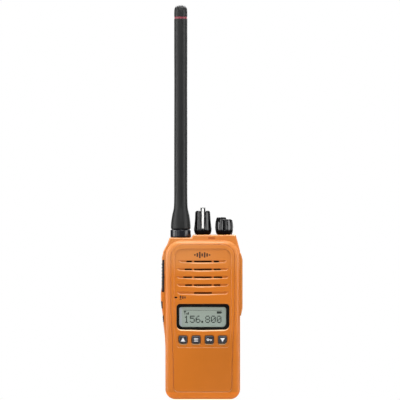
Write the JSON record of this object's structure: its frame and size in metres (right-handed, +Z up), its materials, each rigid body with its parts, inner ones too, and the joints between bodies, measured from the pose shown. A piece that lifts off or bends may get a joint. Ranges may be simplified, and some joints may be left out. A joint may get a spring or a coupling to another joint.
{
  "type": "portable two-way radio",
  "caption": "Hand-held two-way radio with speaker grille, display, front and side keys, rotary controls, jack cover, slide-off battery, belt clip and screw-on whip antenna.",
  "frame": {"origin": "centre of the flat bottom face of the case", "axes": "+Z up along the body, -Y towards the user (the display faces -Y), +X to the user's right when facing the display"},
  "size_m": [0.0568, 0.0318, 0.2745],
  "materials": {
    "orange_case": "fine moulded texture",
    "orange_rubber": "soft satin",
    "die_cast": "black powder coat",
    "seal_rubber": "matt",
    "button_rubber": "satin",
    "window": "polished",
    "window_frame": "gloss",
    "lcd": "reflective liquid crystal",
    "white_plastic": "matt",
    "key_plastic": "satin",
    "board": "solder mask",
    "black_plastic": "satin",
    "speaker_metal": "satin",
    "cone_paper": "fibrous",
    "cloth": "woven",
    "steel": "bright",
    "brass": "turned",
    "antenna_rubber": "soft satin",
    "antenna_gloss": "gloss",
    "red_band": "satin",
    "red_lens": "gloss",
    "battery_plastic": "fine moulded texture",
    "cell_foil": "satin wrap",
    "gold": "plated"
  },
  "bodies": {
    "case": {"antenna_connector": "brass", "backlight_holder": "white_plastic", "board_screws": "steel", "case_gasket": "seal_rubber", "case_screws": "steel", "channel_switch": "black_plastic", "clip_base": "black_plastic", "clip_pin": "steel", "clip_spring": "steel", "contact_block": "black_plastic", "contact_pins": "gold", "control_nuts": "brass", "display_lens": "window", "display_mask": "window_frame", "front_board": "board", "front_case": "orange_case", "indicator_lens": "red_lens", "jack_block": "black_plastic", "jack_cover_pin": "steel", "keypad_mat": "seal_rubber", "lcd_panel": "lcd", "main_board": "board", "microphone": "speaker_metal", "rear_chassis": "die_cast", "side_board": "board", "side_seals": "seal_rubber", "side_switches": "speaker_metal", "speaker_cloth": "cloth", "speaker_cone": "cone_paper", "speaker_frame": "speaker_metal", "volume_control": "black_plastic"},
    "ptt": {"ptt_button": "button_rubber"},
    "upper_key": {"side_key_upper": "button_rubber"},
    "lower_key": {"side_key_lower": "button_rubber"},
    "up_key": {"key_up": "key_plastic"},
    "function_key": {"key_function": "key_plastic"},
    "lock_key": {"key_lock": "key_plastic"},
    "down_key": {"key_down": "key_plastic"},
    "channel": {"channel_shaft": "steel", "channel_knob": "black_plastic", "knob_pointer": "white_plastic"},
    "volume": {"volume_shaft": "steel", "volume_knob": "black_plastic"},
    "cover": {"jack_cover": "orange_rubber", "jack_cover_seal": "seal_rubber"},
    "battery": {"battery_front_shell": "battery_plastic", "battery_rear_shell": "battery_plastic", "battery_cells": "cell_foil", "battery_contacts": "gold", "charge_contacts": "gold", "battery_catch": "steel", "release_spring": "steel"},
    "release": {"battery_release": "black_plastic"},
    "clip": {"clip_arm": "battery_plastic"},
    "antenna_lift": {"antenna_seal": "seal_rubber"},
    "antenna": {"antenna_stud": "brass", "antenna_ferrule": "antenna_gloss", "antenna_mast": "antenna_rubber", "antenna_ring": "red_band", "antenna_cap": "antenna_rubber"}
  },
  "joints": [
    {"name": "ptt_press", "type": "slide", "parent": "case", "child": "ptt", "axis": [1, 0, 0], "range_m": [0, 0.001], "stiffness_N_per_m": 900, "springref_m": -0.001},
    {"name": "upper_key_press", "type": "slide", "parent": "case", "child": "upper_key", "axis": [1, 0, 0], "range_m": [0, 0.0008], "stiffness_N_per_m": 900, "springref_m": -0.001},
    {"name": "lower_key_press", "type": "slide", "parent": "case", "child": "lower_key", "axis": [1, 0, 0], "range_m": [0, 0.0008], "stiffness_N_per_m": 900, "springref_m": -0.001},
    {"name": "up_key_press", "type": "slide", "parent": "case", "child": "up_key", "axis": [0, 1, 0], "range_m": [0, 0.0006], "stiffness_N_per_m": 900, "springref_m": -0.001},
    {"name": "function_key_press", "type": "slide", "parent": "case", "child": "function_key", "axis": [0, 1, 0], "range_m": [0, 0.0006], "stiffness_N_per_m": 900, "springref_m": -0.001},
    {"name": "lock_key_press", "type": "slide", "parent": "case", "child": "lock_key", "axis": [0, 1, 0], "range_m": [0, 0.0006], "stiffness_N_per_m": 900, "springref_m": -0.001},
    {"name": "down_key_press", "type": "slide", "parent": "case", "child": "down_key", "axis": [0, 1, 0], "range_m": [0, 0.0006], "stiffness_N_per_m": 900, "springref_m": -0.001},
    {"name": "channel_turn", "type": "hinge", "parent": "case", "child": "channel", "pos_m": [0.0001, 0, 0.115], "axis": [0, 0, 1], "range_deg": [-168.75, 168.75]},
    {"name": "volume_turn", "type": "hinge", "parent": "case", "child": "volume", "pos_m": [0.01505, 0, 0.115], "axis": [0, 0, 1], "range_deg": [-150, 150]},
    {"name": "jack_cover_open", "type": "hinge", "parent": "case", "child": "cover", "pos_m": [0.02685, 0.0001, 0.0798], "axis": [0, 0, 1], "range_deg": [0, 135]},
    {"name": "battery_slide", "type": "slide", "parent": "case", "child": "battery", "axis": [0, 0, -1], "range_m": [0, 0.1], "deforming": ["battery_catch"]},
    {"name": "battery_release_slide", "type": "slide", "parent": "battery", "child": "release", "axis": [0, 0, -1], "range_m": [0, 0.002], "deforming": ["release_spring"]},
    {"name": "belt_clip_open", "type": "hinge", "parent": "case", "child": "clip", "pos_m": [0, 0.0163, 0.0975], "axis": [1, 0, 0], "range_deg": [0, 15], "deforming": ["clip_spring"]},
    {"name": "antenna_rise", "type": "slide", "parent": "case", "child": "antenna_lift", "axis": [0, 0, 1], "range_m": [0, 0.005]},
    {"name": "antenna_turn", "type": "hinge", "parent": "antenna_lift", "child": "antenna", "pos_m": [-0.0153, 0, 0.11], "axis": [0, 0, 1], "range_deg": [0, 1800]}
  ],
  "couplings": [
    {"joint": "antenna_turn", "follows": "antenna_rise", "rad_per_m": 6283.2}
  ]
}
